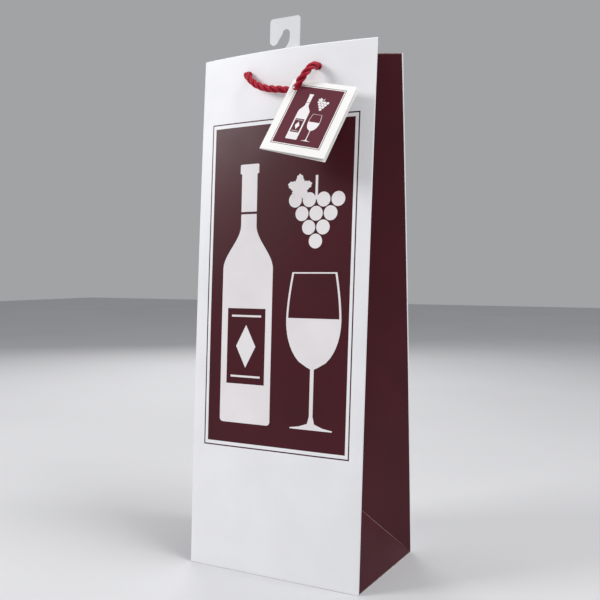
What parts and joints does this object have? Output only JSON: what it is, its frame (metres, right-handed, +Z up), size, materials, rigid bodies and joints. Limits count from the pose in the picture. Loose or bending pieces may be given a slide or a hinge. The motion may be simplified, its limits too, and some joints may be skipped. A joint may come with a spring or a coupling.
{
  "type": "wine gift bag",
  "caption": "Tall folded-card gift bag for a bottle, with pleated sides, twisted cord handles, a hook-shaped hang tab and a folded gift tag on the cord.",
  "frame": {"origin": "middle of the flat base, on the surface the bag stands on", "axes": "+Z up to the mouth, +X to the right along the front panel, -Y out of the front panel"},
  "size_m": [0.127, 0.1045, 0.36],
  "materials": {
    "white_laminated_card": "matt laminated coated card",
    "maroon_laminated_card": "printed and satin laminated card",
    "uncoated_card": "uncoated inner face of the card",
    "grey_board": "plain grey board",
    "hang_tab_plastic": "die-cut white sheet",
    "adhesive_tape": "double-sided tape",
    "tag_card": "printed matt card",
    "twisted_cord": "three-strand twisted rayon cord with a satin sheen"
  },
  "bodies": {
    "root": {"front_bottom_flap": "white_laminated_card", "rear_bottom_flap": "white_laminated_card", "right_bottom_flap": "maroon_laminated_card", "left_bottom_flap": "maroon_laminated_card", "base_card": "grey_board"},
    "front": {"front_panel": "white_laminated_card", "front_hem": "white_laminated_card", "front_stiffener": "grey_board", "hang_tab": "hang_tab_plastic", "hang_tab_adhesive": "adhesive_tape", "front_handle_left_tail": "twisted_cord", "front_handle_right_tail": "twisted_cord", "front_left_knot": "twisted_cord", "front_right_knot": "twisted_cord"},
    "back": {"back_panel": "white_laminated_card", "back_hem": "white_laminated_card", "back_stiffener": "grey_board", "rear_handle_left_tail": "twisted_cord", "rear_handle_right_tail": "twisted_cord", "rear_left_knot": "twisted_cord", "rear_right_knot": "twisted_cord"},
    "right_front_side": {"right_front_gusset": "maroon_laminated_card", "right_front_gusset_hem": "maroon_laminated_card"},
    "right_rear_side": {"right_rear_gusset": "maroon_laminated_card", "right_rear_gusset_hem": "maroon_laminated_card", "seam_flap": "uncoated_card"},
    "left_front_side": {"left_front_gusset": "maroon_laminated_card", "left_front_gusset_hem": "maroon_laminated_card"},
    "left_rear_side": {"left_rear_gusset": "maroon_laminated_card", "left_rear_gusset_hem": "maroon_laminated_card"},
    "right_foot": {"right_gusset_foot": "maroon_laminated_card"},
    "left_foot": {"left_gusset_foot": "maroon_laminated_card"},
    "front_handle": {"front_handle_loop": "twisted_cord"},
    "rear_handle": {"rear_handle_loop": "twisted_cord"},
    "tag": {"tag_back_leaf": "tag_card"},
    "tag_cover": {"tag_cover": "tag_card"}
  },
  "joints": [
    {"name": "mouth_front", "type": "hinge", "parent": "root", "child": "front", "pos_m": [0, -0.0445, 0], "axis": [1, 0, 0], "range_deg": [-1.5, 4], "deforming": ["right_front_gusset", "right_front_gusset_hem", "left_front_gusset", "left_front_gusset_hem"]},
    {"name": "mouth_back", "type": "hinge", "parent": "root", "child": "back", "pos_m": [0, 0.0445, 0], "axis": [1, 0, 0], "range_deg": [-4.05, 1.55], "deforming": ["right_rear_gusset", "right_rear_gusset_hem", "left_rear_gusset", "left_rear_gusset_hem", "seam_flap"]},
    {"name": "right_front_fold", "type": "hinge", "parent": "front", "child": "right_front_side", "pos_m": [0.0635, -0.0445, 0], "axis": [-0.6402, 0.7682, 0], "range_deg": [-2.39, 6.3]},
    {"name": "left_front_fold", "type": "hinge", "parent": "front", "child": "left_front_side", "pos_m": [-0.0635, -0.0445, 0], "axis": [-0.6402, -0.7682, 0], "range_deg": [-2.39, 6.3]},
    {"name": "right_rear_fold", "type": "hinge", "parent": "back", "child": "right_rear_side", "pos_m": [0.0635, 0.0445, 0], "axis": [0.6402, 0.7682, 0], "range_deg": [-2.39, 6.3]},
    {"name": "left_rear_fold", "type": "hinge", "parent": "back", "child": "left_rear_side", "pos_m": [-0.0635, 0.0445, 0], "axis": [0.6402, -0.7682, 0], "range_deg": [-2.39, 6.3]},
    {"name": "right_foot_fold", "type": "hinge", "parent": "root", "child": "right_foot", "pos_m": [0.0635, 0, 0], "axis": [0, 1, 0], "range_deg": [-1.85, 4.85]},
    {"name": "left_foot_fold", "type": "hinge", "parent": "root", "child": "left_foot", "pos_m": [-0.0635, 0, 0], "axis": [0, -1, 0], "range_deg": [-1.85, 4.85]},
    {"name": "front_handle_swing", "type": "hinge", "parent": "front", "child": "front_handle", "pos_m": [0, -0.02834, 0.3257], "axis": [-1, 0, 0], "range_deg": [0, 150], "deforming": ["front_handle_loop"]},
    {"name": "rear_handle_swing", "type": "hinge", "parent": "back", "child": "rear_handle", "pos_m": [0, 0.02834, 0.3257], "axis": [1, 0, 0], "range_deg": [0, 150], "deforming": ["rear_handle_loop"]},
    {"name": "tag_hang", "type": "hinge", "parent": "front_handle", "child": "tag", "pos_m": [0.0158, -0.0354, 0.3121], "axis": [-1, 0, 0], "range_deg": [-150.05, 0.05]},
    {"name": "tag_open", "type": "hinge", "parent": "tag", "child": "tag_cover", "pos_m": [0.0113, -0.03602, 0.31335], "axis": [-0.1673, -0.4981, -0.8508], "range_deg": [-2.5, 75]}
  ],
  "couplings": [
    {"joint": "mouth_back", "follows": "mouth_front", "ratio": -1},
    {"joint": "right_front_fold", "follows": "mouth_front", "ratio": 1.562},
    {"joint": "left_front_fold", "follows": "mouth_front", "ratio": 1.562},
    {"joint": "right_rear_fold", "follows": "mouth_front", "ratio": 1.562},
    {"joint": "left_rear_fold", "follows": "mouth_front", "ratio": 1.562},
    {"joint": "right_foot_fold", "follows": "mouth_front", "ratio": 1.2},
    {"joint": "left_foot_fold", "follows": "mouth_front", "ratio": 1.2},
    {"joint": "tag_hang", "follows": "front_handle_swing", "ratio": -1}
  ]
}
